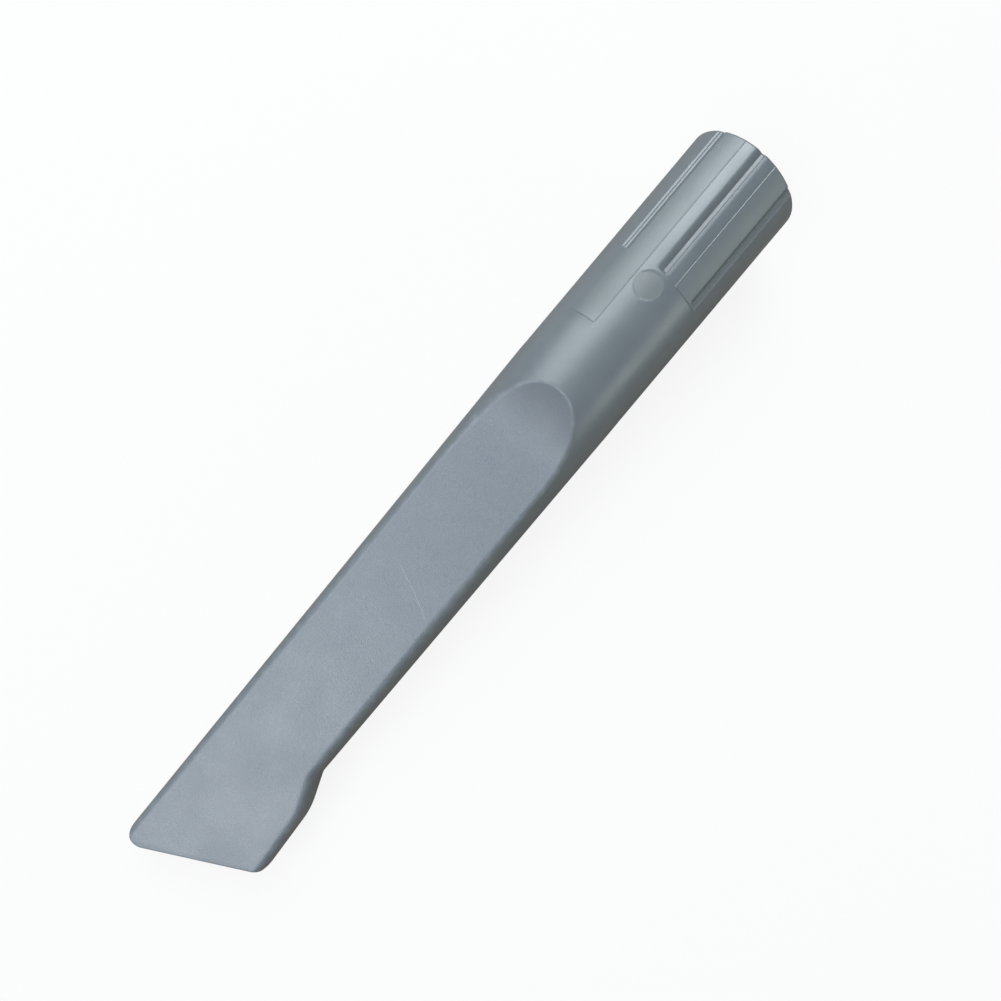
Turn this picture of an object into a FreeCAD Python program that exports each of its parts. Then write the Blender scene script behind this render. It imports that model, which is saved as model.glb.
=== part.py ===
import FreeCAD, Part
import math
import os

# A vacuum crevice tool, moulded in one piece: a round tube that narrows a little, is scooped flat
# on both faces, flares to one side near the tip and ends in a slanted slot, hollow throughout.
# Millimetres and degrees. The origin is the centre of the socket mouth, +X runs along the
# tube's axis to the tip, +Y is the side that the tip flares to, +Z is square to the flats.

# Tube and socket
tube_outer_d = 36.4
wall = 2.1
socket_bore_d = 32.2
socket_depth = 44.0
socket_lead_in = 0.4
stop_length = 5.0
stop_step = 0.8
rim_round = 0.9

# Grip grooves, cut from the rim: hollow ones on the centre lines and steps on the shoulders
groove_length = 43.0
groove_width = 3.4
groove_depth = 1.0
side_groove_angle = 46.0
side_groove_fall = 12.0
side_groove_end_round = 1.2

# Round flat mark behind the top groove
mark_x = 48.6
mark_d = 8.8
mark_edge_depth = 0.06

# Nozzle: it narrows and leans a little to the flare side, and is scooped to a flat on both faces
overall_length = 264.8
taper_start_x = 82.0
taper_angle = 0.55
lean_angle = 0.33
scoop_start_x = 86.0
scoop_radius = 47.5
scoop_entry_angle = 32.4
tip_thickness = 12.0
edge_round = 2.7

# Flare on one side, and the slanted mouth
flare_start_x = 213.0
flare_turn = 22.0
flare_inner_radius = 11.0
flare_ramp = 7.4
flare_outer_radius = 20.0
flare_end_angle = 3.5
flare_seat = 0.3
flare_depth = 17.0
mouth_angle = 28.0
plain_corner_round = 4.7
flare_corner_round = 2.0

# Room that cutters and blanks need beyond the faces they cut, and beyond the tip before it is cut off
spare = 2.0
tip_spare = 10.0

# Limits that tell faces and edges apart: a cross axis, a face that looks up or down, a level edge
axis_slack = 1.0
level_slack = 45.0
edge_slack = 0.2

ORIGIN = FreeCAD.Vector(0, 0, 0)
X = FreeCAD.Vector(1, 0, 0)
Y = FreeCAD.Vector(0, 1, 0)
Z = FreeCAD.Vector(0, 0, 1)

rim_r = tube_outer_d / 2
bore_r = socket_bore_d / 2
blank_end_x = overall_length + tip_spare


def tube_r(x):
    """Outer radius at a distance from the rim: straight at the socket, then narrowing."""
    return rim_r - max(x - taper_start_x, 0) * math.tan(math.radians(taper_angle))


def centre_y(x):
    """How far the leaning nozzle's centre line has moved to the flare side."""
    return max(x - taper_start_x, 0) * math.tan(math.radians(lean_angle))


def heading(angle):
    """Unit vector in the plan, turned from +X towards +Y."""
    turn = math.radians(angle)
    return FreeCAD.Vector(math.cos(turn), math.sin(turn), 0)


def left_of(direction):
    """The plan direction a quarter turn to the left."""
    return FreeCAD.Vector(-direction.y, direction.x, 0)


def meeting(point_a, angle_a, point_b, angle_b):
    """The point where two straight lines in the plan cross."""
    across = left_of(heading(angle_b))
    reach = (point_b - point_a).dot(across) / heading(angle_a).dot(across)
    return point_a + heading(angle_a) * reach


def line(start, end):
    """A straight edge."""
    return Part.LineSegment(start, end).toShape()


def arc(start, middle, end):
    """A round edge through three points."""
    return Part.Arc(start, middle, end).toShape()


def prism(edges, direction, reach):
    """A solid swept both ways from a closed flat outline."""
    face = Part.Face(Part.Wire(edges))
    face.translate(direction * -reach)
    return face.extrude(direction * (2 * reach))


def mirrored(point):
    """The same point on the underside."""
    return FreeCAD.Vector(point.x, point.y, -point.z)


def scoop_centre():
    """Centre of the scoop's arc above the tube, as x and z."""
    entry = math.radians(scoop_entry_angle)
    start_z = tube_r(scoop_start_x)
    return scoop_start_x + scoop_radius * math.sin(entry), start_z + scoop_radius * math.cos(entry)


def flat_slope():
    """Slope, in radians, of the flat that runs from the tip and touches the scoop's arc."""
    centre_x, centre_z = scoop_centre()
    along = overall_length - centre_x
    above = centre_z - tip_thickness / 2
    return math.atan2(above, along) - math.asin(scoop_radius / math.hypot(along, above))


def scoop_point(inset, slope):
    """Point of the upper face where the scoop's arc has a given downward slope."""
    centre_x, centre_z = scoop_centre()
    radius = scoop_radius + inset
    return FreeCAD.Vector(centre_x - radius * math.sin(slope), 0, centre_z - radius * math.cos(slope))


def side_blank(inset):
    """The side view, the same on both faces, as a wide prism with its faces moved in by inset."""
    clear_z = rim_r + spare
    entry = math.acos((scoop_centre()[1] - clear_z) / (scoop_radius + inset))
    slope = flat_slope()
    rim = FreeCAD.Vector(-spare, 0, clear_z)
    top = scoop_point(inset, entry)
    middle = scoop_point(inset, (entry + slope) / 2)
    touch = scoop_point(inset, slope)
    end = touch + FreeCAD.Vector(1, 0, -math.tan(slope)) * (blank_end_x - touch.x)
    edges = [
        line(rim, top),
        arc(top, middle, touch),
        line(touch, end),
        line(end, mirrored(end)),
        line(mirrored(end), mirrored(touch)),
        arc(mirrored(touch), mirrored(middle), mirrored(top)),
        line(mirrored(top), mirrored(rim)),
        line(mirrored(rim), rim),
    ]
    return prism(edges, Y, tube_outer_d)


def is_flat_face(face):
    """True for the scooped faces and the flats, which run straight across the tool."""
    surface = face.Surface
    if isinstance(surface, Part.Cylinder):
        return abs(surface.Axis.y) > math.cos(math.radians(axis_slack))
    return isinstance(surface, Part.Plane) and abs(surface.Axis.z) > math.cos(math.radians(level_slack))


def long_edges(solid):
    """Edges where the round sides meet the scooped and flat faces."""
    found = []
    for edge in solid.Edges:
        kinds = [is_flat_face(face) for face in solid.ancestorsOfType(edge, Part.Face)]
        across_end = edge.BoundBox.XLength < edge_slack
        if kinds.count(True) == 1 and not across_end:
            found.append(edge)
    return found


def ring(x, inset):
    """The round section at a distance from the rim, in halves that meet at the mould's parting plane."""
    radius = tube_r(x) - inset
    centre = FreeCAD.Vector(x, centre_y(x), 0)
    flare_side = centre + Y * radius
    plain_side = centre - Y * radius
    upper = arc(flare_side, centre + Z * radius, plain_side)
    lower = arc(plain_side, centre - Z * radius, flare_side)
    return Part.Wire([upper, lower])


def scooped_tube(inset):
    """The round tube with its two scooped faces, left long at the tip."""
    tube = Part.makeCylinder(rim_r - inset, taper_start_x, ORIGIN, X)
    tube.rotate(ORIGIN, X, 180)
    nozzle = Part.makeLoft([ring(taper_start_x, inset), ring(blank_end_x, inset)], True, True)
    return tube.fuse(nozzle).common(side_blank(inset)).Solids[0]


def flare_path(inset):
    """Plan line of the flare side: its corner points, and the headings and radii between them."""
    side = lean_angle - taper_angle
    angles = [side, side + flare_turn, flare_end_angle]
    radii = [flare_inner_radius + inset, flare_outer_radius - inset]
    start_y = centre_y(flare_start_x) + tube_r(flare_start_x) - flare_seat
    start = FreeCAD.Vector(flare_start_x, start_y, 0) - left_of(heading(angles[0])) * inset
    ramp = start + (left_of(heading(angles[0])) - left_of(heading(angles[1]))) * radii[0]
    crest = ramp + heading(angles[1]) * flare_ramp
    run = crest - (left_of(heading(angles[1])) - left_of(heading(angles[2]))) * radii[1]
    return [start, ramp, crest, run], angles, radii


def flare_section(point, angle, inset):
    """Cross-section of the flare, square to its plan line: a block with the tube's round side."""
    round_r = tube_r(flare_start_x) - inset
    out = left_of(heading(angle))
    half = rim_r / 2
    sag = round_r - math.sqrt(round_r ** 2 - half ** 2)
    top = point - out * sag + Z * half
    bottom = point - out * sag - Z * half
    inner_top = point - out * flare_depth + Z * half
    inner_bottom = point - out * flare_depth - Z * half
    edges = [
        arc(top, point, bottom),
        line(bottom, inner_bottom),
        line(inner_bottom, inner_top),
        line(inner_top, top),
    ]
    return Part.Face(Part.Wire(edges))


def flare(inset):
    """The bulge that widens the nozzle to one side, left long at the tip."""
    (start, ramp, crest, run), angles, radii = flare_path(inset)
    turns = [angles[1] - angles[0], angles[2] - angles[1]]
    outer_centre = start + left_of(heading(angles[0])) * radii[0]
    inner_centre = crest - left_of(heading(angles[1])) * radii[1]
    run_length = (blank_end_x - run.x) / math.cos(math.radians(angles[2]))
    out_bend = flare_section(start, angles[0], inset).revolve(outer_centre, Z, turns[0])
    slope = flare_section(ramp, angles[1], inset).extrude(heading(angles[1]) * flare_ramp)
    back_bend = flare_section(crest, angles[1], inset).revolve(inner_centre, Z, turns[1])
    straight = flare_section(run, angles[2], inset).extrude(heading(angles[2]) * run_length)
    bulge = out_bend.fuse([slope, back_bend, straight]).removeSplitter()
    return bulge.common(side_blank(inset)).Solids[0]


def outside_edges(solid):
    """The flare's long edges on its outer side."""
    reach = tube_r(flare_start_x) - flare_depth / 2
    return [edge for edge in long_edges(solid) if edge.BoundBox.YMin > reach]


def mouth_cutter():
    """Everything beyond the slanted mouth and its two rounded corners."""
    mouth = 90 + mouth_angle
    outward = left_of(heading(mouth)) * -1
    plain_side = lean_angle + taper_angle
    plain_out = left_of(heading(plain_side)) * -1
    flare_out = left_of(heading(flare_end_angle))
    plain_x = overall_length - plain_corner_round
    plain_y = centre_y(plain_x) - tube_r(plain_x) + plain_corner_round
    plain_centre = FreeCAD.Vector(plain_x, plain_y, 0)
    flare_run = flare_path(flare_corner_round)[0][-1]
    mouth_in = plain_centre + outward * (plain_corner_round - flare_corner_round)
    flare_centre = meeting(flare_run, flare_end_angle, mouth_in, mouth)
    plain_middle = (plain_out + outward).normalize()
    flare_middle = (flare_out + outward).normalize()
    plain_touch = plain_centre + plain_out * plain_corner_round
    flare_touch = flare_centre + flare_out * flare_corner_round
    plain_mouth = plain_centre + outward * plain_corner_round
    flare_mouth = flare_centre + outward * flare_corner_round
    beyond = blank_end_x + spare
    far_plain = FreeCAD.Vector(beyond, plain_touch.y - spare, 0)
    far_flare = FreeCAD.Vector(beyond, flare_touch.y + spare, 0)
    edges = [
        arc(plain_touch, plain_centre + plain_middle * plain_corner_round, plain_mouth),
        line(plain_mouth, flare_mouth),
        arc(flare_mouth, flare_centre + flare_middle * flare_corner_round, flare_touch),
        line(flare_touch, flare_touch + flare_out * spare),
        line(flare_touch + flare_out * spare, far_flare),
        line(far_flare, far_plain),
        line(far_plain, plain_touch + plain_out * spare),
        line(plain_touch + plain_out * spare, plain_touch),
    ]
    return prism(edges, Z, tube_outer_d)


def outside():
    """The outer form: rounded rim, scooped tube with rounded edges, flare and slanted mouth."""
    tube = scooped_tube(0)
    tube = tube.makeFillet(edge_round, long_edges(tube))
    rim = [edge for edge in tube.Edges if edge.BoundBox.XMax < edge_slack]
    tube = tube.makeFillet(rim_round, rim)
    bulge = flare(0)
    bulge = bulge.makeFillet(edge_round, outside_edges(bulge))
    return tube.fuse(bulge).cut(mouth_cutter())


def inside():
    """The hollow: socket bore with its lead-in, the wand's stop and the duct to the slot."""
    duct_x = socket_depth + stop_length
    keep = Part.makeBox(blank_end_x, 2 * tube_outer_d, 2 * tube_outer_d)
    keep.translate(FreeCAD.Vector(duct_x, -tube_outer_d, -tube_outer_d))
    duct = scooped_tube(wall).common(keep)
    bore = Part.makeCylinder(bore_r, socket_depth + spare, X * -spare, X)
    lead = Part.makeCone(bore_r + socket_lead_in, bore_r, socket_lead_in, ORIGIN, X)
    stop = Part.makeCylinder(bore_r - stop_step, stop_length + spare, X * socket_depth, X)
    return bore.fuse([lead, stop, duct, flare(wall)])


def centre_groove():
    """The hollow groove on the top centre line, with a round inner end."""
    half = groove_width / 2
    hollow_r = (half ** 2 + groove_depth ** 2) / (2 * groove_depth)
    axis_z = rim_r - groove_depth + hollow_r
    inner = groove_length - half
    hollow = Part.makeCylinder(hollow_r, inner + spare, FreeCAD.Vector(-spare, 0, axis_z), X)
    return hollow.fuse(Part.makeSphere(hollow_r, FreeCAD.Vector(inner, 0, axis_z)))


def side_groove():
    """A step in the tube's shoulder: an upright wall and a floor that falls away, with a round end."""
    angle = math.radians(side_groove_angle)
    root_r = rim_r - groove_depth
    beyond = rim_r + spare
    root = FreeCAD.Vector(-spare, root_r * math.sin(angle), root_r * math.cos(angle))
    fall = (beyond - root.y) * math.tan(math.radians(side_groove_fall))
    wall_top = FreeCAD.Vector(-spare, root.y, beyond)
    far_top = FreeCAD.Vector(-spare, beyond, beyond)
    floor_end = FreeCAD.Vector(-spare, beyond, root.z - fall)
    corners = [root, wall_top, far_top, floor_end, root]
    step = Part.Face(Part.makePolygon(corners)).extrude(X * (groove_length + spare))
    inner_end = [
        edge
        for edge in step.Edges
        if edge.BoundBox.XMin > 0 and edge.BoundBox.YMax < rim_r and edge.BoundBox.ZLength > spare
    ]
    return step.makeFillet(side_groove_end_round, inner_end)


def grooves():
    """Three grooves on the top and their mirror images underneath."""
    side = side_groove()
    top = [centre_groove(), side, side.mirror(ORIGIN, Y)]
    return top + [groove.mirror(ORIGIN, Z) for groove in top]


def mark():
    """Cutter for the round flat mark on the top centre line."""
    floor_z = math.sqrt(tube_r(mark_x) ** 2 - (mark_d / 2) ** 2) - mark_edge_depth
    return Part.makeCylinder(mark_d / 2, rim_r, FreeCAD.Vector(mark_x, 0, floor_z), Z)


def crevice_tool():
    """The whole moulding."""
    return outside().cut(inside()).cut(grooves() + [mark()]).removeSplitter()


os.makedirs("parts", exist_ok=True)
tool = crevice_tool()
tool.exportStep("parts/crevice_tool.step")
print("solids", len(tool.Solids), "valid", tool.isValid(), "volume cm3", round(tool.Volume / 1000, 2))
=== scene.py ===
# %% [markdown]
# # A vacuum crevice tool
# The tool is one hollow moulding in grey plastic: a round socket, a scooped shoulder and a flat nozzle
# that flares to one side and ends in a slanted slot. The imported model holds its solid. This lesson makes
# the finely rounded skin that is seen, its finish, and a plain studio to look at it in.

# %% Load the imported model
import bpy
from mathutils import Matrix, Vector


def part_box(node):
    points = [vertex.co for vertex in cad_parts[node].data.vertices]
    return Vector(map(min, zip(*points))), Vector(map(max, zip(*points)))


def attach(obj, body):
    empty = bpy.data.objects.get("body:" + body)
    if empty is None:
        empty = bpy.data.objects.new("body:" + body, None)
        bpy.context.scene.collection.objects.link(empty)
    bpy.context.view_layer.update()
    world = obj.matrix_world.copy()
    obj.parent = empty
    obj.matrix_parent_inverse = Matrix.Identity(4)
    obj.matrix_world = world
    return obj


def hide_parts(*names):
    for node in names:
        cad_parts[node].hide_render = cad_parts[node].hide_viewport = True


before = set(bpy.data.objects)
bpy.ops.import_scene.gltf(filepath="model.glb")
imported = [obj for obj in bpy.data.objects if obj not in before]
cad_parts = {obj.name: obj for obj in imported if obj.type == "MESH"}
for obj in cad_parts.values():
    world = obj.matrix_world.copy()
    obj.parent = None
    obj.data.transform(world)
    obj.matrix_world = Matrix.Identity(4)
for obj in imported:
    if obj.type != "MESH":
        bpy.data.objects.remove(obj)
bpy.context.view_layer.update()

# %% [markdown]
# ## Units and the two driving sizes
# The frame is in metres, but a moulding like this is thought of in millimetres, so the shape is worked
# out in millimetres and turned into metres at the end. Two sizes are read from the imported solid, so that
# the skin always fits it: the tube's radius and how far the tip reaches.

# %% Read the driving sizes
import math

import bpy
import numpy as np
from mathutils import Matrix, Vector

MM = 0.001
low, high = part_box("crevice_tool")
rim_r = (high.z - low.z) / 2 / MM
tip_x = high.x / MM
print(f"tube radius {rim_r:.2f} mm, tip at {tip_x:.1f} mm")

# %% [markdown]
# ## The narrowing tube
# A mould's core has to slide out, so past the socket the tube narrows by half a degree, and it leans a
# little to the side that the tip flares to. A cone mesh could do this, but a formula for the radius and
# for the centre line lets every later step ask for the section at any place.

# %% Radius and centre line of the tube
taper_start_x = 82.0
taper = math.tan(math.radians(0.55))
lean = math.tan(math.radians(0.33))


def tube_r(x):
    """Outer radius at a distance from the rim."""
    return rim_r - np.maximum(x - taper_start_x, 0) * taper


def centre_y(x):
    """How far the centre line has moved to the flare side."""
    return np.maximum(x - taper_start_x, 0) * lean


print(f"radius at the tip {tube_r(tip_x):.2f} mm, centre line moved {centre_y(tip_x):.2f} mm")

# %% [markdown]
# ## The flare
# Near the tip one side swings out through a small bend, a straight ramp and a larger bend back. A Bezier
# curve drawn by eye would do, but two arcs and a line are what a toolmaker cuts, so the plan line is
# built from them. It starts a little inside the tube, so that it leaves the side with a clear crease.

# %% Plan line of the flare
flare_start_x = 213.0
flare_seat = 0.3
flare_ramp = 7.4
out_bend_r = 11.0
back_bend_r = 20.0
bend_steps = 40
side_turn = math.atan(lean - taper)
ramp_turn = math.radians(21.78)
end_turn = math.radians(3.5)


def heading(turn):
    """Unit vectors along a plan direction, turned from +X to +Y."""
    return np.stack([np.cos(turn), np.sin(turn)], -1)


def left_of(turn):
    """Unit vectors square to that direction, on its left."""
    return np.stack([-np.sin(turn), np.cos(turn)], -1)


out_turns = np.linspace(side_turn, ramp_turn, bend_steps)
back_turns = np.linspace(ramp_turn, end_turn, bend_steps)
flare_start = np.array([flare_start_x, centre_y(flare_start_x) + tube_r(flare_start_x) - flare_seat])
out_bend = flare_start + (left_of(side_turn) - left_of(out_turns)) * out_bend_r
crest = out_bend[-1] + heading(ramp_turn) * flare_ramp
back_bend = crest - (left_of(ramp_turn) - left_of(back_turns)) * back_bend_r
flare_end = back_bend[-1] + heading(end_turn) * (tip_x - flare_start_x)
flare_line = np.vstack([out_bend, back_bend, flare_end])
flare_slope = np.tan(np.concatenate([out_turns, back_turns, [end_turn]]))
print(f"the flare bends back from x {crest[0]:.1f} to {back_bend[-1][0]:.1f} mm")

# %% [markdown]
# ## The flare's offset
# The skin needs the flare as a function of x: how far the side has moved out from the round tube, and how
# fast. The greater of tube and flare counts, and a real mould has no knife edge between them, so the two
# are joined by a small smooth blend instead of a plain maximum.

# %% Offset and slope of the flare side
crease_round = 0.12


def flare_offset(x):
    """How far the flare side stands out from the round tube, and its slope."""
    side = centre_y(x) + tube_r(x)
    gap = np.interp(x, flare_line[:, 0], flare_line[:, 1]) - side
    gap = np.where(x < flare_start_x, -flare_seat, gap)
    slope = np.where(x < flare_start_x, lean - taper, np.interp(x, flare_line[:, 0], flare_slope))
    blend = np.hypot(gap, crease_round)
    level = (np.hypot(flare_seat, crease_round) - flare_seat) / 2
    return (gap + blend) / 2 - level, (slope - lean + taper) * (1 + gap / blend) / 2


print(f"the flare stands out {flare_offset(tip_x)[0]:.1f} mm at the tip")

# %% [markdown]
# ## The scooped flats
# Both faces of the tube are hollowed by a big arc that runs out into a flat, and the two flats close in
# towards the tip. A boolean cut would leave long thin triangles along the shoulder. Here the flat is
# kept as a signed gap, negative inside the plastic, together with the way that it faces.

# %% Gap to the scoop and the flat
scoop_start_x = 86.0
scoop_radius = 47.5
scoop_entry = math.radians(32.4)
tip_half = 6.0
scoop_x = scoop_start_x + scoop_radius * math.sin(scoop_entry)
scoop_z = float(tube_r(scoop_start_x)) + scoop_radius * math.cos(scoop_entry)
to_tip = (tip_x - scoop_x, scoop_z - tip_half)
flat_turn = math.atan2(to_tip[1], to_tip[0]) - math.asin(scoop_radius / math.hypot(*to_tip))
touch_x = scoop_x - scoop_radius * math.sin(flat_turn)
touch_z = scoop_z - scoop_radius * math.cos(flat_turn)


def flat_gap(x, z, inset):
    """Gap to the scooped face or the flat, with the x and z parts of the way it faces."""
    to_x = scoop_x - x
    to_z = scoop_z - np.abs(z)
    reach = np.hypot(to_x, to_z)
    flat = (np.abs(z) - touch_z + (x - touch_x) * math.tan(flat_turn)) * math.cos(flat_turn)
    scooped = np.arctan2(to_x, to_z) > flat_turn
    gap = np.where(scooped, scoop_radius - reach, flat) + inset
    face_x = np.where(scooped, to_x / reach, math.sin(flat_turn))
    face_z = np.where(scooped, to_z / reach, math.cos(flat_turn))
    return gap, face_x, face_z


print(f"the flat starts at {touch_x:.1f} mm and falls {math.degrees(flat_turn):.2f} degrees")

# %% [markdown]
# ## The round side
# The same kind of gap for the round side of the tube. Where the flare pushes one side out, the section
# is a round end moved sideways with a straight stretch between, so the distance across is measured from
# the nearer of the two centres.

# %% Gap to the round side
smallest = 1e-6


def side_gap(x, y, z, inset):
    """Gap to the round side, with the x and z parts of the way it faces."""
    shift, slope = flare_offset(x)
    across = y - centre_y(x)
    past = np.where(across > shift, across - shift, np.minimum(across, 0))
    reach = np.maximum(np.hypot(past, z), smallest)
    drawn_in = x > taper_start_x
    drift = np.where(drawn_in, lean, 0) + np.where(past > 0, slope, 0)
    along = np.where(drawn_in, taper, 0) - past / reach * drift
    length = np.sqrt(1 + along ** 2)
    gap = (reach - tube_r(x)) / length + inset
    return gap, along / length, z / reach / length


print(f"gap on the tube's axis {side_gap(0.0, 0.0, 0.0, 0.0)[0]:.1f} mm")

# %% [markdown]
# ## Rounded edges
# Where the flats meet the round side, the moulding has a soft edge, like the path of a ball rolling along
# it. A bevel modifier could round it, but it stumbles on the shoulder, where the edge fades out. With the
# two gaps and the ways that they face, the rounded surface has an exact formula instead. The edge is
# fuller along both sides of the tool than round the arch at the top of the scoop.

# %% Gap to the whole form
nearly_level = 0.995
# How far across the fuller edge sets in, where along the tool it fades, and the radius added at both marks.
flare_side_y = (2, 10)
flare_fuller_x = (160, 225)
flare_fuller_r = (1.3, 0.0)
plain_side_y = (7, 13)
plain_fuller_x = (106, 124)
plain_fuller_r = (2.4, 0.0)


def ramp(value, start, end):
    """Smooth climb from zero to one."""
    share = np.clip((value - start) / (end - start), 0, 1)
    return share * share * (3 - 2 * share)


def form_gap(x, y, z, inset, edge_r):
    """Gap to the rounded form, and the flat's share of the surface there."""
    edge_r = edge_r + ramp(y, *flare_side_y) * np.interp(x, flare_fuller_x, flare_fuller_r)
    edge_r = edge_r + ramp(-y, *plain_side_y) * np.interp(x, plain_fuller_x, plain_fuller_r)
    side, side_x, side_z = side_gap(x, y, z, inset)
    flat, flat_x, flat_z = flat_gap(x, z, inset)
    facing = np.clip(side_x * flat_x + np.abs(side_z) * flat_z, -nearly_level, nearly_level)
    spread = 1 - facing ** 2
    side_in = side + edge_r
    flat_in = flat + edge_r
    side_share = (side_in - facing * flat_in) / spread
    flat_share = (flat_in - facing * side_in) / spread
    rounded = (side_share > 0) & (flat_share > 0)
    reach = np.maximum(side_in ** 2 + flat_in ** 2 - 2 * facing * side_in * flat_in, 0)
    gap = np.where(rounded, np.sqrt(reach / spread) - edge_r, np.maximum(side, flat))
    share = np.where(rounded, flat_share / np.maximum(side_share + flat_share, smallest), flat > side)
    return gap, share


print(f"edges are up to {flare_fuller_r[0]} and {plain_fuller_r[0]} mm fuller along the sides")

# %% [markdown]
# ## Finding the surface
# The gap says whether a point is inside, so the surface is found by looking outward from the middle of a
# section and halving the doubt, as in a guessing game. Ray casting on a coarse mesh would be quicker, but
# no more exact than that mesh.

# %% Search for the surface of a section
halvings = 34
shoulder_round = 1.3
nozzle_round = 2.7
shoulder_end_x = 104.0
nozzle_edge_x = 170.0


def middle_y(x):
    """Middle of the section, from which its surface is searched."""
    return centre_y(x) + flare_offset(x)[0] / 2


def surface_r(x, turn, inset, edge_r):
    """Distance from the section's middle to the surface, found by halving."""
    near = np.zeros(np.broadcast(x, turn).shape)
    far = np.full(near.shape, 2 * rim_r)
    for _ in range(halvings):
        middle = (near + far) / 2
        y = middle_y(x) + middle * np.cos(turn)
        beyond = form_gap(x, y, middle * np.sin(turn), inset, edge_r)[0] > 0
        far = np.where(beyond, middle, far)
        near = np.where(beyond, near, middle)
    return (near + far) / 2


def edge_round(x):
    """Radius of the soft edge: tight round the shoulder, fuller along the nozzle."""
    return shoulder_round + (nozzle_round - shoulder_round) * ramp(x, shoulder_end_x, nozzle_edge_x)


half_thickness = float(surface_r(nozzle_edge_x, math.pi / 2, 0.0, nozzle_round))
print(f"half thickness {half_thickness:.2f} mm where the nozzle's edge is full")

# %% [markdown]
# ## The slanted mouth
# The tip is cut off on a slant, with a large rounded corner on the plain side and a small one on the
# flare side. Seen in plan it is a line that touches two circles, so one function gives the end of the
# tool for every place across it. A boolean would do the same with rougher edges.

# %% End of the tool across the mouth
mouth_slant = math.radians(28)
plain_round = 4.7
flare_round = 2.0
plain_x = tip_x - plain_round
plain_corner = np.array([plain_x, centre_y(plain_x) - tube_r(plain_x) + plain_round])
mouth_out = heading(mouth_slant)
flare_inner = back_bend[-1] - left_of(end_turn) * flare_round
touching = np.stack([mouth_out, left_of(end_turn)])
distances = [mouth_out @ plain_corner + plain_round - flare_round, left_of(end_turn) @ flare_inner]
flare_corner = np.linalg.solve(touching, distances)
plain_end_y = plain_corner[1] + plain_round * mouth_out[1]
flare_end_y = flare_corner[1] + flare_round * mouth_out[1]


def corner_x(y, corner, radius):
    """Outer x of a rounded corner."""
    return corner[0] + np.sqrt(np.maximum(radius ** 2 - (y - corner[1]) ** 2, 0))


def mouth_x(y):
    """Where the tool ends at a place across it."""
    straight = plain_corner[0] + (plain_round - (y - plain_corner[1]) * mouth_out[1]) / mouth_out[0]
    end = np.where(y < plain_end_y, corner_x(y, plain_corner, plain_round), straight)
    return np.where(y > flare_end_y, corner_x(y, flare_corner, flare_round), end)


print(f"the mouth runs from x {mouth_x(plain_end_y):.1f} to {mouth_x(flare_end_y):.1f} mm")

# %% [markdown]
# ## Columns round the section
# The skin is a grid: columns run along the tool and rings run round it. Columns lie close together where
# the socket end is carved, so that the carved edges stay crisp, and wide apart on plain plastic. They are
# placed by angle on the round tube, and further on by the same share of the way round.

# %% Column places on the upper half
quarter_circle = 90
half_circle = 180
shoulder_grooves = (37.5, 54.0)
insert_lines = (69.2, 76.2)
centre_groove = 79.5


def spaced(start, stretches):
    """Places along stretches that each have an end and a step, even within each stretch."""
    places = [start]
    for end, step in stretches:
        count = max(1, round((end - start) / step))
        places.extend(np.linspace(start, end, count + 1)[1:])
        start = end
    return np.array(places)


# The end of each stretch, in degrees round from the flare side, and the step between its columns.
quarter_stretches = [
    (shoulder_grooves[0], 2.3),
    (shoulder_grooves[1], 0.42),
    (insert_lines[0], 2.3),
    (insert_lines[1], 0.37),
    (centre_groove, 1.7),
    (quarter_circle, 0.42),
]
quarter = spaced(0, quarter_stretches)
half_shares = np.concatenate([quarter, half_circle - quarter[-2::-1]]) / half_circle
column_count = 2 * (len(half_shares) - 1)
print(f"{column_count} columns")

# %% [markdown]
# ## Ring places along the tool
# Rings are close where the form changes: the rim, the ends of the grooves and of the mould's inserts, the
# shoulder, the flare and the lip. A subdivision modifier would put as many on the plain nozzle as on the
# carved grip, so each stretch has a step of its own.

# %% Ring places on the outside and in the duct
rim_round = 0.9
groove_end_x = 43.0
groove_end_run = 2.2
short_insert_end_x = 43.6
mark_end_x = 53.4
long_insert_end_x = 65.5
line_reach = 0.25
arch_start_x = 84.5
arch_end_x = 92.0
shoulder_run_x = 118.0
flare_lead = 2.0
fan_x = 226.0
socket_depth = 44.0
stop_length = 5.0
# The end of each stretch, in millimetres from the rim, and the step between its rings.
outer_stretches = [
    (groove_end_x - groove_end_run, 5.0),
    (short_insert_end_x - line_reach, 0.22),
    (short_insert_end_x + line_reach, 0.084),
    (mark_end_x, 0.33),
    (long_insert_end_x - line_reach, 3.0),
    (long_insert_end_x + line_reach, 0.084),
    (taper_start_x, 3.5),
    (arch_start_x, 0.6),
    (arch_end_x, 0.4),
    (shoulder_run_x, 0.9),
    (flare_start_x - flare_lead, 5.2),
    (fan_x, 0.75),
]
duct_stretches = [(scoop_start_x, 9.0), (shoulder_run_x, 3.2), (fan_x, 14.0)]
outer_x = spaced(rim_round, outer_stretches)[1:]
duct_x = spaced(socket_depth + stop_length, duct_stretches)[::-1]
print(f"{len(outer_x)} ring places outside, {len(duct_x)} in the duct")

# %% [markdown]
# ## The rings
# Towards the mouth the rings fan out until the last one lies on the slant. The inside is more rings of
# the same columns, from the mouth back to the socket, so the skin closes on itself like a torus. A
# Solidify modifier would give the wall too, but not the stop ring in the socket.

# %% Rings outside and inside
lip_round = 0.6
wall = 2.1
inner_edge_round = 0.6
stop_step = 0.8
lead_in = 0.4
rim_steps = 9
lip_steps = 6
fan_steps = 21
slot_steps = 9


def rings(x, share=0.0, back=0.0, inset=0.0, edge_r=None):
    """Rows of ring values: place, share of the way to the mouth, distance short of it, inset, edge."""
    edge_r = edge_round(np.array(x)) if edge_r is None else edge_r
    return np.stack([np.ravel(value) for value in np.broadcast_arrays(x, share, back, inset, edge_r)], -1)


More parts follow.
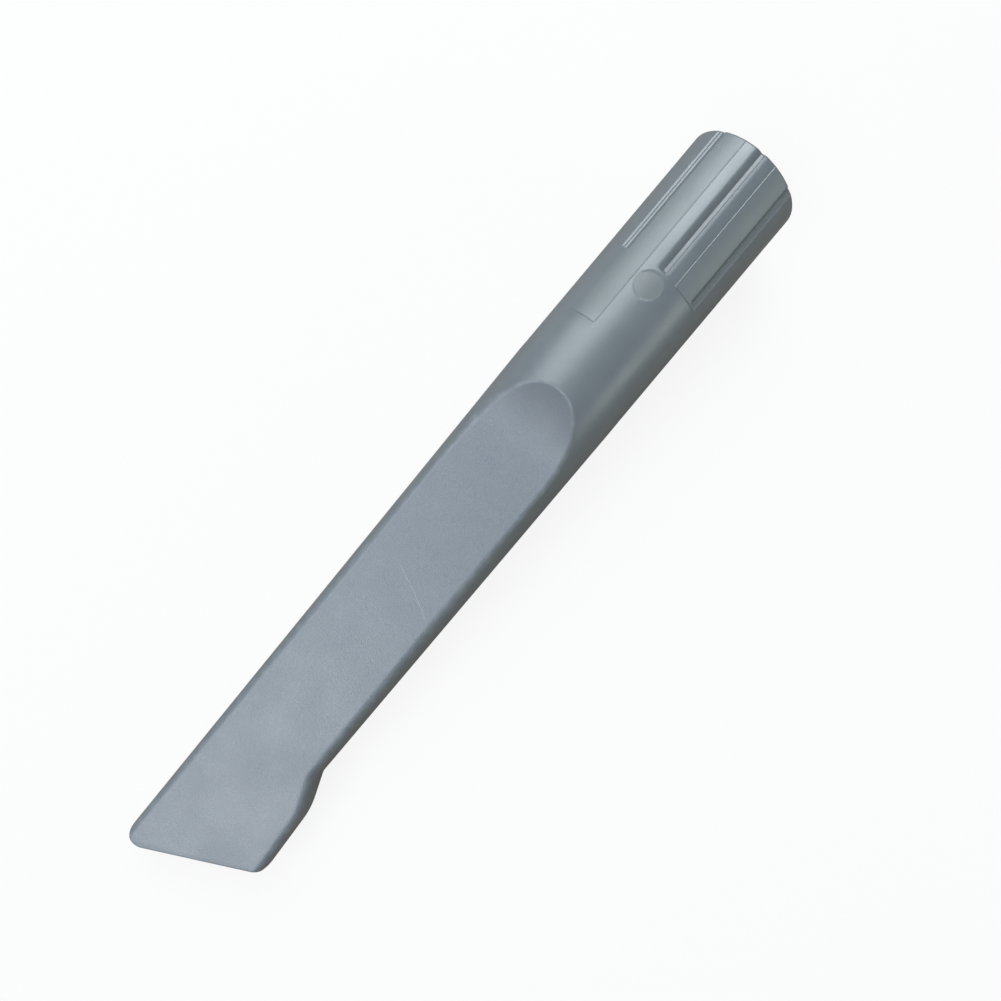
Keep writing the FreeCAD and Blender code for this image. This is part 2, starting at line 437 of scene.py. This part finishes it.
rim_turns = np.linspace(0, math.pi / 2, rim_steps)
lip_turns = np.linspace(0, math.pi / 2, lip_steps)[1:]
rim_rings = rings(rim_round * (1 - np.cos(rim_turns)), inset=rim_round * (1 - np.sin(rim_turns)))
fan_rings = rings(fan_x, np.linspace(0, 1, fan_steps)[1:], lip_round)
lip_back = lip_round * (1 - np.sin(lip_turns))
lip_rings = rings(fan_x, 1.0, lip_back, lip_round * (1 - np.cos(lip_turns)))
outer_rings = np.vstack([rim_rings, rings(outer_x), fan_rings, lip_rings])
slot_rings = rings(fan_x, np.linspace(1, 0, slot_steps)[:-1], 0.0, wall, inner_edge_round)
duct_rings = rings(duct_x, inset=wall, edge_r=inner_edge_round)
stop_x = [duct_x[-1], socket_depth, socket_depth, lead_in, 0.0]
stop_inset = [wall + stop_step, wall + stop_step, wall, wall, wall - lead_in]
socket_rings = rings(stop_x, inset=stop_inset, edge_r=inner_edge_round)
all_rings = np.vstack([outer_rings, slot_rings, duct_rings, socket_rings])
print(f"{len(outer_rings)} rings outside, {len(all_rings) - len(outer_rings)} inside")

# %% [markdown]
# ## Turns of the columns
# Each ring is sampled finely to learn its length, and the columns are set at their share of it. Equal
# angles would be simpler, but on the wide flat nozzle they would crowd the columns at the sides.

# %% Turn of every column on every ring
fine_steps = 541
base_x, mouth_share, mouth_back, ring_inset, ring_edge = (column[:, None] for column in all_rings.T)
fine_turns = np.linspace(0, math.pi, fine_steps)[None, :]
mouth_middle = float(mouth_x(middle_y(np.array(tip_x))))
plain_section_x = base_x + mouth_share * (mouth_middle - mouth_back - base_x)
fine_r = surface_r(plain_section_x, fine_turns, ring_inset, ring_edge)
fine_y = fine_r * np.cos(fine_turns)
fine_z = fine_r * np.sin(fine_turns)
pieces = np.hypot(np.diff(fine_y, axis=1), np.diff(fine_z, axis=1))
way_round = np.concatenate([np.zeros((len(pieces), 1)), np.cumsum(pieces, axis=1)], axis=1)
way_round /= way_round[:, -1:]
half_turns = np.stack([np.interp(half_shares, way, fine_turns[0]) for way in way_round])
turns = np.concatenate([half_turns, -half_turns[:, -2:0:-1]], axis=1)
print(f"{turns.size} crossings of rings and columns")

# %% [markdown]
# ## Solving the skin
# Now the surface is found at every crossing. The rings of the slanted end need a few rounds, because
# where a ring lies depends on how far across the tool a column has come.

# %% Solve every crossing of the grid
settling_rounds = 9
skin_x = np.broadcast_to(plain_section_x, turns.shape)
for _ in range(settling_rounds):
    skin_r = surface_r(skin_x, turns, ring_inset, ring_edge)
    skin_y = middle_y(skin_x) + skin_r * np.cos(turns)
    aimed_x = base_x + mouth_share * (mouth_x(skin_y) - mouth_back - base_x)
    skin_x = (skin_x + aimed_x) / 2
skin_r = surface_r(skin_x, turns, ring_inset, ring_edge)
print(f"solved {skin_r.size} points")

# %% [markdown]
# ## Cutters for the grip
# The grip has a shallow valley on the centre line and a step on each shoulder, above and below. Booleans
# on a dense mesh are slow and leave ragged shading. As the tube is round here, each cutter is simply the
# radius that it leaves at a turn.

# %% Radii left by the grooves
valley_places = [-2.5, -2.1, -1.6, -1.0, 0.0, 0.1, 1.05, 1.36, 2.2, 2.5]
valley_depths = [0.0, 0.02, 0.13, 0.36, 0.82, 0.82, 0.62, 0.18, 0.03, 0.0]
valley_end_round = 1.6
step_y = 12.05
step_z = 12.77
step_fall = math.tan(math.radians(15))
step_draft = math.tan(math.radians(24))
step_end_round = 0.8
ledge_width = 0.62
ledge_drop = 0.34
soft_edge = 0.08


def softer(first, second, sign):
    """The greater of two radii for a sign of 1, the lesser for -1, with a small round where they meet."""
    return (first + second + sign * np.hypot(first - second, soft_edge)) / 2


def valley_left(x, turn):
    """Radius left by the centre groove: a shallow valley with a ledge on one bank and a round end."""
    past_end = np.clip((x - groove_end_x) / valley_end_round + 1, 0, 1)
    depth = np.interp(rim_r * np.cos(turn), valley_places, valley_depths)
    return rim_r - depth * np.sqrt(1 - past_end ** 2)


def step_left(x, turn):
    """Radius left by a shoulder step: a drafted wall, a falling floor with a ledge, and a round end."""
    out = np.abs(np.cos(turn))
    up = np.abs(np.sin(turn))
    past_end = np.clip((x - groove_end_x) / step_end_round + 1, 0, 1)
    wall_y = step_y + step_end_round * (1 - np.sqrt(1 - past_end ** 2))
    floor_r = (step_z + step_fall * step_y) / (up + step_fall * out)
    wall_r = (wall_y + step_draft * step_z) / (out + step_draft * up)
    drop_r = ledge_drop / (up + step_fall * out)
    ledge_r = ledge_width / (out + step_draft * up)
    upper = softer(wall_r, floor_r, 1)
    lower = softer(wall_r + ledge_r, floor_r - drop_r, 1)
    return np.where(x < groove_end_x, softer(upper, lower, -1), math.inf)


print(f"the valley is {max(valley_depths)} mm deep, the ledges drop {ledge_drop} mm")

# %% [markdown]
# ## The round mark
# Behind the upper groove the mould leaves a shallow round mark with a flattened floor. It is a few
# hundredths of a millimetre deep, which a bump could show, but its sloping wall catches the light from
# every side, so it is cut into the skin.

# %% Radius left by the mark
mark_place = (48.4, 0.25)
mark_r = 4.2
mark_depth = 0.07
mark_wall = 0.15
mark_crown = 0.7


def from_mark(x, turn, r):
    """Distance from the middle of the mark, seen from above."""
    return np.hypot(x - mark_place[0], r * np.cos(turn) - mark_place[1])


def mark_left(x, turn, r):
    """Radius left by the shallow mark on the upper side, with a slightly sloping wall."""
    floor_z = math.sqrt(rim_r ** 2 - mark_r ** 2) - mark_depth
    flat_r = floor_z / np.maximum(np.sin(turn), smallest)
    floor = flat_r + (r - mark_depth - flat_r) * mark_crown
    depth_in = np.clip((mark_r - from_mark(x, turn, r)) / mark_wall, 0, 1)
    return np.where(np.sin(turn) > 0, r + (np.minimum(floor, r) - r) * depth_in, r)


print(f"the mark is {2 * mark_r} mm across")

# %% [markdown]
# ## Carving the grip
# The least radius counts, as with real cutters. The grooves are turned a little to the flare side, above
# and below, and they run out over the rounded rim and notch it. How deep a place lies is kept, so that the
# grooves can be coloured darker the deeper they go.

# %% Cut the grooves and the mark
pattern_roll = math.radians(2.4)
rim_notch = 0.5
full_dark_depth = 0.8
grip_turns = np.where(turns > 0, turns + pattern_roll, turns - pattern_roll)
outside = np.arange(len(all_rings))[:, None] < len(outer_rings)
grip = outside & (skin_x < taper_start_x)
grooves = np.minimum(valley_left(skin_x, grip_turns), step_left(skin_x, grip_turns))
carved = softer(skin_r, grooves - ring_inset * rim_notch, -1)
carved = mark_left(skin_x, turns, np.minimum(carved, skin_r))
groove_depth = np.where(grip, np.clip((skin_r - carved) / full_dark_depth, 0, 1), 0)
skin_r = np.where(grip, carved, skin_r)
print(f"deepest cut {rim_r - skin_r[grip & (skin_x > rim_round)].min():.2f} mm")

# %% [markdown]
# ## Flash of the mould's inserts
# The mould has two loose inserts beside the upper groove, a short and a long one, and the plastic creeps
# into their joints as a fine ridge of flash. It is a tenth of a millimetre high or so, but it catches the
# light, so it is raised in the skin and not painted on. The inserts' faces also have a finish of their
# own, which is kept for the material.

# %% Raise the flash along the two inserts
insert_edge = 72.6
short_flash = 0.14
long_flash = 0.08
flash_half_width = 0.2
flash_past_wall = 9
wall_turn = math.degrees(math.acos(step_y / rim_r))
degree_length = math.radians(1) * rim_r
turn_degrees = np.degrees(grip_turns)
mirrored_degrees = half_circle - turn_degrees


def flash(degrees, end_x, height):
    """Height of the flash round an insert: along its side and across its inner end."""
    beside = np.clip(1 - np.abs(degrees - insert_edge) * degree_length / flash_half_width, 0, 1)
    across = np.clip(1 - np.abs(skin_x - end_x) / flash_half_width, 0, 1)
    beside = np.where(skin_x < end_x, beside, 0)
    reached = (degrees > wall_turn - flash_past_wall) & (degrees < insert_edge)
    return np.maximum(beside, np.where(reached, across, 0)) * height


def insert_face(degrees, end_x):
    """True on the face of an insert."""
    return (degrees > wall_turn) & (degrees < insert_edge) & (skin_x < end_x)


raised = flash(turn_degrees, short_insert_end_x, short_flash)
raised += flash(mirrored_degrees, long_insert_end_x, long_flash)
skin_r = skin_r + np.where(grip, raised, 0)
panels = insert_face(turn_degrees, short_insert_end_x) | insert_face(mirrored_degrees, long_insert_end_x)
panels |= (from_mark(skin_x, turns, skin_r) < mark_r) & (turns > 0)
panels &= grip
print(f"insert faces and mark cover {int(panels.sum())} points")

# %% [markdown]
# ## The mesh
# The grid becomes one closed mesh: every four neighbouring crossings make a face, and both directions
# wrap round. Smooth shading is kept off the crisp edges by their angle.

# %% Build the moulding
sharp_angle = math.radians(33)
skin_y = middle_y(skin_x) + skin_r * np.cos(turns)
skin_z = skin_r * np.sin(turns)
points = np.stack([skin_x, skin_y, skin_z], -1).reshape(-1, 3) * MM
ids = np.arange(turns.size).reshape(turns.shape)
next_column = np.roll(ids, -1, axis=1)
next_ring = np.roll(ids, -1, axis=0)
corners = [ids, next_column, np.roll(next_ring, -1, axis=1), next_ring]
faces = np.stack(corners, -1).reshape(-1, len(corners))

mesh = bpy.data.meshes.new("moulding")
mesh.from_pydata(points.tolist(), [], faces.tolist())
mesh.shade_smooth()
mesh.set_sharp_from_angle(angle=sharp_angle)
moulding = bpy.data.objects.new("moulding", mesh)
bpy.context.collection.objects.link(moulding)
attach(moulding, "root")
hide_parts("crevice_tool")
mesh.calc_loop_triangles()
print(f"moulding has {len(mesh.loop_triangles)} triangles")

# %% [markdown]
# ## Values for the finish
# The finish differs from place to place: matt on the flats, duller up the scoop and painted darker there as
# shade, rubbed on the edges, and a painted highlight along the arch. Painting that by hand is slow and hard
# to repeat, so each cause is worked out from the form and stored on the points.

# %% Store values on the points
arch_painted_highlight = 0.6
arch_highlight_reach_x = (88, 93)
scoop_fade_x = (88, 104)
flat_share = form_gap(skin_x, skin_y, skin_z, ring_inset, ring_edge)[1]
# In the middle of an edge the two shares multiply to a quarter, so four times that gives one.
edge_nearness = np.where(outside, 4 * flat_share * (1 - flat_share), 0)
# Near the arch the edge value is raised further: a painted highlight there, on top of the rubbing.
edge_nearness = edge_nearness * (1 + arch_painted_highlight * (1 - ramp(skin_x, *arch_highlight_reach_x)))
# The scoop's top is marked for painted shade and a duller finish; the edge value also holds a painted
# highlight along the arch.
stored_values = {
    "flatness": flat_share,
    "scoop": flat_share * (1 - ramp(skin_x, *scoop_fade_x)),
    "edge_wear_and_highlight": edge_nearness,
    "panel": panels,
    "groove_depth": groove_depth,
}
for name, values in stored_values.items():
    layer = mesh.attributes.new(name, "FLOAT", "POINT")
    layer.data.foreach_set("value", values.astype(np.float32).ravel())
print("stored:", ", ".join(stored_values))

# %% [markdown]
# ## Tools for the finish
# A finish is a small network of nodes. It could be wired by hand in the shader editor, but a few helpers
# keep it readable here: one sets a socket, to a value or by a link from another node, one adds a node with
# its sockets set, and the others make the nodes that are used most.

# %% Node helpers
plastic = bpy.data.materials.new("grey_plastic")
plastic.use_nodes = True
tree = plastic.node_tree
tree.nodes.clear()


def fill(where, socket, value):
    """Set a socket to a value, or link it to another node's output."""
    if isinstance(value, bpy.types.NodeSocket):
        where.links.new(value, socket)
    else:
        socket.default_value = value


def add_node(where, kind, inputs=(), **settings):
    """A node with its settings made and its inputs filled or linked."""
    node = where.nodes.new(kind)
    for key, value in settings.items():
        setattr(node, key, value)
    for key, value in dict(inputs).items():
        fill(where, node.inputs[key], value)
    return node


def sum_up(operation, *values):
    """The output of an arithmetic node."""
    return add_node(tree, "ShaderNodeMath", enumerate(values), operation=operation).outputs[0]


def between(value, start, end, low_value=0.0, high_value=1.0):
    """A value spread smoothly from one range to another."""
    sockets = {"Value": value, "From Min": start, "From Max": end}
    sockets.update({"To Min": low_value, "To Max": high_value})
    spread = add_node(tree, "ShaderNodeMapRange", sockets, interpolation_type="SMOOTHSTEP")
    return spread.outputs["Result"]


def stored(name):
    """A value stored on the mesh points."""
    return add_node(tree, "ShaderNodeAttribute", attribute_name=name).outputs["Fac"]


place = add_node(tree, "ShaderNodeTexCoord").outputs["Object"]
spot = add_node(tree, "ShaderNodeSeparateXYZ", {"Vector": place}).outputs
flatness = stored("flatness")
print(f"{plastic.name} started")

# %% [markdown]
# ## Texture of the moulded skin
# The mould's flats are spark-eroded and leave a fine matt grain; its tube is polished and leaves a satin
# skin with a faint orange peel. The grain is far smaller than the mesh, so it is bump, made from noise at
# the grain's real size, and the flatness that is stored on the points says where each kind belongs.

# %% Grain and orange peel
grain_size = 0.34
grain_detail = 3.0
grain_depth = 0.085
grain_range = (0.3, 0.9)
grain_on_tube = 0.35
peel_size = 1.6
peel_depth = 0.012
peel_strength = 0.6
peel_range = (0.1, 0.8)
peel_on_flats = 0.2


def noise(size_mm, detail=2.0):
    """Smooth random values with features of about that size."""
    sockets = {"Vector": place, "Scale": 1 / (size_mm * MM), "Detail": detail}
    return add_node(tree, "ShaderNodeTexNoise", sockets).outputs["Fac"]


grain = noise(grain_size, grain_detail)
peel = noise(peel_size)
grain_height = sum_up("MULTIPLY", grain, between(flatness, *grain_range, grain_on_tube, 1.0))
peel_height = sum_up("MULTIPLY", peel, between(flatness, *peel_range, 1.0, peel_on_flats))
grain_bump = add_node(
    tree,
    "ShaderNodeBump",
    {"Height": grain_height, "Distance": grain_depth * MM, "Strength": 1.0},
)
skin_bump = add_node(
    tree,
    "ShaderNodeBump",
    {
        "Height": peel_height,
        "Distance": peel_depth * MM,
        "Strength": peel_strength,
        "Normal": grain_bump.outputs[0],
    },
)
print("fine grain on the flats, orange peel on the tube")

# %% [markdown]
# ## Scratches
# A used tool carries a few hairlines: one pale, slightly bowed scratch crosses the upper flat, and a faint
# one lies near the plain edge. A thin mesh strip could stand for each. Here they are worked out from the
# distance to their line, so they lie in the surface and stay thin at any zoom.

# %% Hairlines on the upper flat
solid_core = 0.4
end_fade = 0.12
scratch_strength = 0.45
scuff_strength = 0.2


def hairline(start, end, bow, half_width):
    """One along a slightly bowed line on the upper face, fading to zero beside it and at its ends."""
    run = Vector(end) - Vector(start)
    way = run.normalized()
    scaled = way / (run.length * MM)
    from_x = sum_up("SUBTRACT", spot["X"], start[0] * MM)
    from_y = sum_up("SUBTRACT", spot["Y"], start[1] * MM)
    along = sum_up("MULTIPLY_ADD", from_x, scaled.x, sum_up("MULTIPLY", from_y, scaled.y))
    aside = sum_up("MULTIPLY_ADD", from_x, -way.y, sum_up("MULTIPLY", from_y, way.x))
    still_to_go = sum_up("SUBTRACT", 1.0, along)
    # Half way along, the two shares multiply to a quarter, so four times that gives the whole bow.
    bowed = sum_up("MULTIPLY", sum_up("MULTIPLY", along, still_to_go), 4 * bow * MM)
    off = sum_up("ABSOLUTE", sum_up("SUBTRACT", aside, bowed))
    thin = between(off, solid_core * half_width * MM, half_width * MM, 1.0, 0.0)
    ends = sum_up("MULTIPLY", between(along, 0.0, end_fade), between(along, 1 - end_fade, 1.0, 1.0, 0.0))
    upper = sum_up("GREATER_THAN", spot["Z"], 0.0)
    return sum_up("MULTIPLY", sum_up("MULTIPLY", thin, ends), upper)


scratch = hairline(start=(151.6, -4.95), end=(160.4, 13.5), bow=0.5, half_width=0.16)
scuff = hairline(start=(206.0, -11.1), end=(215.0, -11.1), bow=0.1, half_width=0.14)
hairlines = sum_up(
    "MAXIMUM",
    sum_up("MULTIPLY", scratch, scratch_strength),
    sum_up("MULTIPLY", scuff, scuff_strength),
)
print("two hairlines drawn")

# %% [markdown]
# ## Dust
# A few pale specks of dust lie on the tool. They could be small spheres, but they are too fine to have a
# form. They are the middles of the cells of a Voronoi pattern, kept only where chance allows.

# %% Specks of dust
dust_spacing = 14
speck_fade = (0.006, 0.012)
dust_free = 0.7
cells = add_node(tree, "ShaderNodeTexVoronoi", {"Vector": place, "Scale": 1 / (dust_spacing * MM)})
near_centre = between(cells.outputs["Distance"], *speck_fade, 1.0, 0.0)
chosen = add_node(tree, "ShaderNodeSeparateColor", {"Color": cells.outputs["Color"]}).outputs["Red"]
specks = sum_up("MULTIPLY", near_centre, sum_up("GREATER_THAN", chosen, dust_free))
print(f"{1 - dust_free:.0%} of the cells may hold a speck")

# %% [markdown]
# ## Colour of the plastic
# The plastic is a cool mid grey. It isn't one flat tone: the melt flows unevenly, and the matt flats look
# paler than the satin tube, with a speckle from the grain. Each cause is a small shift of the same colour,
# mixed by noise of its own size or by a stored value, so none of them shows as a pattern.

# %% Grey of the tube and of the flats
satin_deep = (0.186, 0.217, 0.247, 1)
satin_light = (0.208, 0.242, 0.272, 1)
matt_deep = (0.226, 0.262, 0.320, 1)
matt_light = (0.245, 0.283, 0.343, 1)
broad_flow = 45
fine_flow = 5
fine_flow_detail = 4.0
broad_share = 0.6
flow_range = (0.3, 0.7)
grain_contrast = (0.25, 0.75)
speckle_range = (0.86, 1.14)
matt_range = (0.2, 0.9)


def mix(share, first, second):
    """A colour between two others."""
    node = add_node(tree, "ShaderNodeMix", data_type="RGBA")
    sockets = {socket.identifier: socket for socket in node.inputs}
    fill(tree, sockets["Factor_Float"], share)
    fill(tree, sockets["A_Color"], first)
    fill(tree, sockets["B_Color"], second)
    return next(socket for socket in node.outputs if socket.identifier == "Result_Color")


small_flow = sum_up("MULTIPLY", noise(fine_flow, fine_flow_detail), 1 - broad_share)
flow = between(sum_up("MULTIPLY_ADD", noise(broad_flow), broad_share, small_flow), *flow_range)
satin_grey = mix(flow, satin_deep, satin_light)
speckle = between(grain, *grain_contrast, *speckle_range)
even_matt = mix(flow, matt_deep, matt_light)
matt_grey = add_node(tree, "ShaderNodeHueSaturation", {"Value": speckle, "Color": even_matt}).outputs[0]
colour = mix(between(flatness, *matt_range), satin_grey, matt_grey)
print("satin grey on the tube, matt grey on the flats")

# %% [markdown]
# ## Use, wear and painted light
# The top of the scoop is painted darker as shade, where it leans away from the light. The inserts have
# their own tone, the grooves are darker the deeper they go, and edges rub a shade lighter in patches, most
# along the arch, where the lighter tone is a painted highlight. Then come the hairlines and the dust. A
# painted texture could hold all this, but mixing it by cause keeps each one easy to change.

# %% Wear, painted shade and highlight, darker grooves, hairlines and dust
# Painted shade for the scoop's top.
scoop_shade_grey = (0.158, 0.188, 0.236, 1)
panel_grey = (0.208, 0.248, 0.262, 1)
# Darker tone that the grooves take by depth.
groove_dark_grey = (0.085, 0.095, 0.100, 1)
# Lighter tone of rubbed edges, which along the arch is a painted highlight.
rubbed_and_highlight_grey = (0.330, 0.380, 0.415, 1)
scratch_grey = (0.62, 0.66, 0.70, 1)
dust_grey = (0.80, 0.81, 0.82, 1)
rub_size = 3.5
rub_detail = 3.0
rub_range = (0.4, 0.7)
rub_and_highlight_shares = (0.05, 0.45)
rub_and_highlight_patches = between(noise(rub_size, rub_detail), *rub_range, *rub_and_highlight_shares)
# Where each trace lies, how strong it is there, and its tone; the scoop's is painted shade.
layers = [
    # Painted shade on the scoop's top.
    (stored("scoop"), 0.6, scoop_shade_grey),
    (stored("panel"), 0.5, panel_grey),
    # Grooves darker the deeper they go.
    (stored("groove_depth"), 0.4, groove_dark_grey),
    # Rubbed edges, with a painted highlight along the arch.
    (stored("edge_wear_and_highlight"), rub_and_highlight_patches, rubbed_and_highlight_grey),
    (hairlines, 0.7, scratch_grey),
    (specks, 0.8, dust_grey),
]
for where_it_lies, strength, tone in layers:
    colour = mix(sum_up("MULTIPLY", where_it_lies, strength), colour, tone)
print(f"{len(layers)} traces of use mixed in")

# %% [markdown]
# ## Roughness
# Polished steel leaves the tube satin, and eroded steel leaves the flats duller. The scoop's top and the
# inserts are duller again, and handling shifts it a little everywhere. One value for the whole tool would
# make it look like a drawing.

# %% Roughness of the skin
satin_rough = 0.36
matt_rough = 0.45
rough_range = (0.1, 0.9)
scoop_rougher = 0.2
panel_rougher = 0.10
handling_size = 12
handling_detail = 3.0
handling_range = (0.3, 0.7)
handling_shift = (-0.03, 0.04)
moulded = between(flatness, *rough_range, satin_rough, matt_rough)
scooped_rough = sum_up("MULTIPLY_ADD", stored("scoop"), scoop_rougher, moulded)
panel_rough = sum_up("MULTIPLY_ADD", stored("panel"), panel_rougher, scooped_rough)
handled = between(noise(handling_size, handling_detail), *handling_range, *handling_shift)
roughness = sum_up("ADD", panel_rough, handled)
print(f"roughness from {satin_rough} on the tube to {matt_rough} on the flats")

# %% [markdown]
# ## The finished plastic
# The Principled shader takes the colour, the roughness and the bump. Values that are the same all over
# stay on its own sockets: a rather high index and specular level give the plastic a clear sheen.

# %% Join the finish and give it to the moulding
plastic_ior = 1.58
sheen_level = 1.0
surface = add_node(
    tree,
    "ShaderNodeBsdfPrincipled",
    {
        "Base Color": colour,
        "Roughness": roughness,
        "Normal": skin_bump.outputs[0],
        "IOR": plastic_ior,
        "Specular IOR Level": sheen_level,
    },
)
add_node(tree, "ShaderNodeOutputMaterial", {"Surface": surface.outputs[0]})
mesh.materials.append(plastic)
print(f"{plastic.name} has {len(tree.nodes)} nodes")

# %% [markdown]
# ## The floor
# Laid down, the tool rests on the end of its straight tube and on its lower lip, so the floor leans by
# that angle. A plain square is enough: it is so large that its edge lies out of sight.

# %% Lay the floor under the tool
floor_half = 6.0
floor_gap = 0.1
rest_back = 1.0
rest_x = scoop_start_x - rest_back
floor_turn = math.atan2(rim_r - tip_half, tip_x - rest_x)
paper_mesh = bpy.data.meshes.new("paper")
square = [(-floor_half, -floor_half, 0), (floor_half, -floor_half, 0)]
square += [(floor_half, floor_half, 0), (-floor_half, floor_half, 0)]
paper_mesh.from_pydata(square, [], [(0, 1, 2, 3)])
paper = bpy.data.objects.new("paper", paper_mesh)
bpy.context.collection.objects.link(paper)
paper.location = (rest_x * MM, 0, -(rim_r + floor_gap) * MM)
paper.rotation_euler = (0, -floor_turn, 0)
print(f"floor leans {math.degrees(floor_turn):.2f} degrees")

# %% [markdown]
# ## White paper
# The floor is white paper that fades into the page. Plain scatter would need strong lamps to look white,
# so the camera sees mostly an even white, with enough scatter left to hold the tool's shadow. Mirrored
# rays see a little of that white, and all other light meets a dimmer paper, which keeps the tool's lower
# side dark.

# %% Finish of the paper
even_white = 0.88
mirrored_share = 0.05
white = (1, 1, 1, 1)
lit_paper = (0.9, 0.9, 0.9, 1)
dim_paper = (0.34, 0.31, 0.27, 1)
white_paper = bpy.data.materials.new("white_paper")
white_paper.use_nodes = True
paper_tree = white_paper.node_tree
paper_tree.nodes.clear()
light_path = add_node(paper_tree, "ShaderNodeLightPath").outputs
from_camera = light_path["Is Camera Ray"]
seen = from_camera
for ray in ("Is Glossy Ray", "Is Transmission Ray"):
    sockets = {0: light_path[ray], 1: mirrored_share, 2: seen}
    seen = add_node(paper_tree, "ShaderNodeMath", sockets, operation="MULTIPLY_ADD").outputs[0]
shown = add_node(paper_tree, "ShaderNodeMath", {0: seen, 1: even_white}, operation="MULTIPLY").outputs[0]
dim = add_node(paper_tree, "ShaderNodeBsdfDiffuse", {"Color": dim_paper}).outputs[0]
lit = add_node(paper_tree, "ShaderNodeBsdfDiffuse", {"Color": lit_paper}).outputs[0]
even = add_node(paper_tree, "ShaderNodeEmission", {"Color": white, "Strength": 1.0}).outputs[0]
shaded = add_node(paper_tree, "ShaderNodeMixShader", {0: from_camera, 1: dim, 2: lit}).outputs[0]
blend_white = add_node(paper_tree, "ShaderNodeMixShader", {0: shown, 1: shaded, 2: even}).outputs[0]
add_node(paper_tree, "ShaderNodeOutputMaterial", {"Surface": blend_white})
paper_mesh.materials.append(white_paper)
print(f"{white_paper.name} has {len(paper_tree.nodes)} nodes")

# %% [markdown]
# ## Light
# A satin tube shows its light as soft bands, so the lamps are broad; small ones would leave hard glints.
# The main softbox hangs above on the plain side, with a smaller one nearer the socket. One over the tip
# and a faint one over the middle light the flats, and a weak one stands low on the flare side for the
# second band along the tube.

# %% Softboxes
tool_middle = Vector((tip_x / 2 * MM, 0, 0))
far_off = 0.9
close_by = 0.47
cool_white = (0.90, 0.96, 1.0)
blue_white = (0.80, 0.88, 1.0)
green_white = (0.92, 1.0, 0.96)
tip_white = (0.96, 1.0, 0.98)


def softbox(name, direction, distance, size, watts, tint):
    """Add a broad rectangular lamp that faces the middle of the tool."""
    lamp = bpy.data.lights.new(name, "AREA")
    lamp.shape = "RECTANGLE"
    lamp.size, lamp.size_y = size
    lamp.energy = watts
    lamp.color = tint
    box = bpy.data.objects.new(name, lamp)
    bpy.context.collection.objects.link(box)
    box.location = tool_middle + Vector(direction).normalized() * distance
    box.rotation_euler = (tool_middle - box.location).to_track_quat("-Z", "Y").to_euler()
    box.visible_camera = False
    print(f"{name} of {watts} W")


softbox(
    "main_softbox", direction=(-0.47, -0.53, 0.71), distance=far_off,
    size=(0.84, 0.88), watts=5.1, tint=cool_white,
)
softbox(
    "socket_softbox", direction=(-0.64, -0.38, 0.67), distance=far_off,
    size=(0.5, 0.4), watts=1.6, tint=cool_white,
)
softbox(
    "middle_softbox", direction=(0.19, -0.10, 0.98), distance=far_off,
    size=(0.5, 0.25), watts=0.12, tint=blue_white,
)
softbox(
    "tip_softbox", direction=(0.56, -0.12, 0.82), distance=far_off,
    size=(0.7, 0.34), watts=3.7, tint=tip_white,
)
softbox(
    "low_softbox", direction=(-0.52, 0.81, 0.27), distance=close_by,
    size=(0.32, 0.13), watts=0.29, tint=green_white,
)

# %% [markdown]
# ## The room
# An even, faint world fills the shadows, as pale walls would. A modelled room could do it too, but would
# take longer to render. The camera sees the page's white there instead.

# %% World
room_light = 0.07
world = bpy.data.worlds.new("studio")
bpy.context.scene.world = world
world.use_nodes = True
world_tree = world.node_tree
world_tree.nodes.clear()
room = add_node(world_tree, "ShaderNodeBackground", {"Color": white, "Strength": room_light}).outputs[0]
page = add_node(world_tree, "ShaderNodeBackground", {"Color": white, "Strength": even_white}).outputs[0]
seen_directly = add_node(world_tree, "ShaderNodeLightPath").outputs["Is Camera Ray"]
backdrop = add_node(world_tree, "ShaderNodeMixShader", {0: seen_directly, 1: room, 2: page}).outputs[0]
add_node(world_tree, "ShaderNodeOutputWorld", {"Surface": backdrop})
print(f"world of strength {room_light}")

# %% [markdown]
# ## Camera
# The tool is seen from straight above, close by, with its tip to the lower left. The camera stands over a
# point beside the middle and is turned about the vertical. Tilting it would bend the view, so a small
# shift moves the frame and the camera keeps looking straight down.

# %% Place the camera
camera_place = (119.57, 17.43, 222.0)
camera_turn = math.radians(49.98)
frame_width = 36.0
focal_share = 0.7432
shift_across = -0.0287
shift_up = 0.0239
camera_data = bpy.data.cameras.new("camera")
camera_data.sensor_width = frame_width
camera_data.lens = frame_width * focal_share
camera_data.shift_x = shift_across
camera_data.shift_y = shift_up
camera_data.clip_start = MM
camera = bpy.data.objects.new("camera", camera_data)
bpy.context.collection.objects.link(camera)
across = Vector((-math.cos(camera_turn), math.sin(camera_turn), 0))
upward = Vector((-math.sin(camera_turn), -math.cos(camera_turn), 0))
turned = Matrix((across, upward, across.cross(upward))).transposed().to_4x4()
camera.matrix_world = Matrix.Translation(Vector(camera_place) * MM) @ turned
bpy.context.scene.camera = camera
bpy.context.scene.view_settings.view_transform = "Standard"
print(f"lens {camera_data.lens:.1f} mm")
